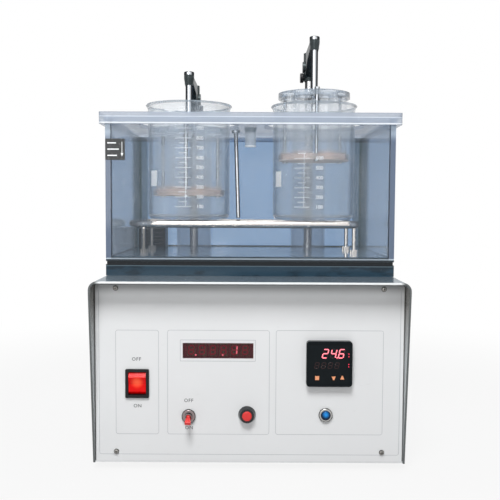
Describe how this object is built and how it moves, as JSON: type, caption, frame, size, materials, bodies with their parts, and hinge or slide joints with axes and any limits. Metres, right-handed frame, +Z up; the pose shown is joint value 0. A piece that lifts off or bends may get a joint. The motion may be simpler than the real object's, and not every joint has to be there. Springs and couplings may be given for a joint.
{
  "type": "tablet disintegration tester",
  "caption": "Bench tablet disintegration tester: steel-clad control cabinet, clear lidded water bath, glass beakers and basket-racks raised and lowered by rear columns.",
  "frame": {"origin": "centre of the footprint on the bench, under the rubber feet", "axes": "+Z up, the control panel faces -Y, +X to the right of a person at the panel"},
  "size_m": [0.33, 0.37, 0.4873],
  "materials": {
    "paint_white": "satin",
    "steel": "satin",
    "plated_bar": "polished",
    "black_acrylic": "gloss",
    "clear_acrylic": "polished clear sheet",
    "borosilicate": "clear",
    "rubber_black": "matte",
    "screw_steel": "oxidised",
    "black_plastic": "satin",
    "red_plastic": "gloss",
    "blue_lens": "gloss",
    "red_lens": "gloss",
    "orange_key": "satin",
    "dark_metal": "machined",
    "aluminium_plate": "satin",
    "bronze": "machined",
    "zinc_case": "satin",
    "circuit_board": "satin",
    "arm_metal": "dark anodised"
  },
  "bodies": {
    "base": {"base_plate": "zinc_case", "rubber_feet": "rubber_black", "front_panel": "paint_white", "panel_screws": "screw_steel", "cabinet_cover": "steel", "rear_panel": "paint_white", "tank_plinth": "black_acrylic", "tank_floor": "black_acrylic", "tank_front_wall": "clear_acrylic", "tank_rear_wall": "clear_acrylic", "tank_left_wall": "clear_acrylic", "tank_right_wall": "clear_acrylic", "column_guard_tubes": "clear_acrylic", "immersion_heater": "black_plastic", "beaker_rack": "plated_bar", "drive_frame": "zinc_case", "column_bushes": "bronze", "gear_motor": "dark_metal", "power_supply": "aluminium_plate", "mains_inlet": "black_plastic", "mains_switch_body": "black_plastic", "timer_window": "red_lens", "timer_board": "circuit_board", "toggle_switch_body": "steel", "push_button_body": "black_plastic", "temperature_controller": "black_plastic", "heater_lamp_bezel": "black_plastic", "heater_lamp_lens": "blue_lens"},
    "lid": {"tank_lid": "clear_acrylic", "temperature_probe": "steel", "sensor_sleeve": "black_plastic"},
    "beaker_left": {"beaker_left": "borosilicate"},
    "column_left": {"lift_column_left": "steel", "arm_left": "arm_metal"},
    "knob_left": {"arm_knob_left": "black_plastic"},
    "basket_left": {"basket_left_top_plate": "clear_acrylic", "basket_left_bottom_plate": "clear_acrylic", "basket_left_glass_tubes": "borosilicate", "basket_left_tie_rods": "steel", "basket_left_wire_mesh": "steel", "basket_left_hanger_rod": "steel"},
    "beaker_right": {"beaker_right": "borosilicate"},
    "column_right": {"lift_column_right": "steel", "arm_right": "arm_metal"},
    "knob_right": {"arm_knob_right": "black_plastic"},
    "basket_right": {"basket_right_top_plate": "clear_acrylic", "basket_right_bottom_plate": "clear_acrylic", "basket_right_glass_tubes": "borosilicate", "basket_right_tie_rods": "steel", "basket_right_wire_mesh": "steel", "basket_right_hanger_rod": "steel"},
    "beam": {"walking_beam": "steel"},
    "rod": {"connecting_rod": "steel"},
    "crank": {"drive_crank": "steel"},
    "rocker": {"mains_rocker": "red_plastic"},
    "toggle": {"toggle_lever": "red_plastic"},
    "button": {"push_button_cap": "red_plastic"},
    "key_set": {"controller_key_set": "orange_key"},
    "key_down": {"controller_key_down": "orange_key"},
    "key_up": {"controller_key_up": "orange_key"}
  },
  "joints": [
    {"name": "lid_lift", "type": "slide", "parent": "base", "child": "lid", "axis": [0, 0, 1], "range_m": [0, 0.012]},
    {"name": "column_right_stroke", "type": "slide", "parent": "base", "child": "column_right", "axis": [0, 0, 1], "range_m": [-0.0492, 0.0058]},
    {"name": "column_left_stroke", "type": "slide", "parent": "base", "child": "column_left", "axis": [0, 0, 1], "range_m": [-0.0058, 0.0492]},
    {"name": "beaker_left_lift", "type": "slide", "parent": "base", "child": "beaker_left", "axis": [0, 0, 1], "range_m": [0, 0.008]},
    {"name": "basket_left_lift", "type": "slide", "parent": "column_left", "child": "basket_left", "axis": [0, 0, 1], "range_m": [0, 0.012]},
    {"name": "knob_left_turn", "type": "hinge", "parent": "column_left", "child": "knob_left", "pos_m": [-0.068, 0.064, 0.4074], "axis": [1, 0, 0], "range_deg": [0, 360]},
    {"name": "beaker_right_lift", "type": "slide", "parent": "base", "child": "beaker_right", "axis": [0, 0, 1], "range_m": [0, 0.008]},
    {"name": "basket_right_lift", "type": "slide", "parent": "column_right", "child": "basket_right", "axis": [0, 0, 1], "range_m": [0, 0.012]},
    {"name": "knob_right_turn", "type": "hinge", "parent": "column_right", "child": "knob_right", "pos_m": [0.07, 0.064, 0.4508], "axis": [1, 0, 0], "range_deg": [0, 360]},
    {"name": "beam_rock", "type": "hinge", "parent": "base", "child": "beam", "pos_m": [0.001, 0.047, 0.1375], "axis": [0, -1, 0], "range_deg": [-36, 4.5]},
    {"name": "rod_swing", "type": "hinge", "parent": "beam", "child": "rod", "pos_m": [0.03806, 0.0395, 0.14794], "axis": [0, -1, 0], "range_deg": [-4.5, 36]},
    {"name": "crank_turn", "type": "hinge", "parent": "base", "child": "crank", "pos_m": [0.0395, 0.031, 0.0775], "axis": [0, 1, 0], "range_deg": [-20, 162]},
    {"name": "mains_rocker_tilt", "type": "hinge", "parent": "base", "child": "rocker", "pos_m": [-0.1182, -0.161, 0.0926], "axis": [1, 0, 0], "range_deg": [-18, 0]},
    {"name": "toggle_flip", "type": "hinge", "parent": "base", "child": "toggle", "pos_m": [-0.064, -0.1684, 0.0578], "axis": [1, 0, 0], "range_deg": [-50, 0]},
    {"name": "start_button_press", "type": "slide", "parent": "base", "child": "button", "axis": [0, 1, 0], "range_m": [0, 0.003], "stiffness_N_per_m": 500, "springref_m": -0.001},
    {"name": "key_set_press", "type": "slide", "parent": "base", "child": "key_set", "axis": [0, 1, 0], "range_m": [0, 0.0004], "stiffness_N_per_m": 500, "springref_m": -0.0005},
    {"name": "key_down_press", "type": "slide", "parent": "base", "child": "key_down", "axis": [0, 1, 0], "range_m": [0, 0.0004], "stiffness_N_per_m": 500, "springref_m": -0.0005},
    {"name": "key_up_press", "type": "slide", "parent": "base", "child": "key_up", "axis": [0, 1, 0], "range_m": [0, 0.0004], "stiffness_N_per_m": 500, "springref_m": -0.0005}
  ],
  "couplings": [
    {"joint": "column_left_stroke", "follows": "column_right_stroke", "ratio": -1},
    {"joint": "beam_rock", "follows": "column_right_stroke", "rad_per_m": 12.6},
    {"joint": "rod_swing", "follows": "column_right_stroke", "rad_per_m": -12.6},
    {"joint": "crank_turn", "follows": "column_right_stroke", "rad_per_m": -57.12}
  ]
}
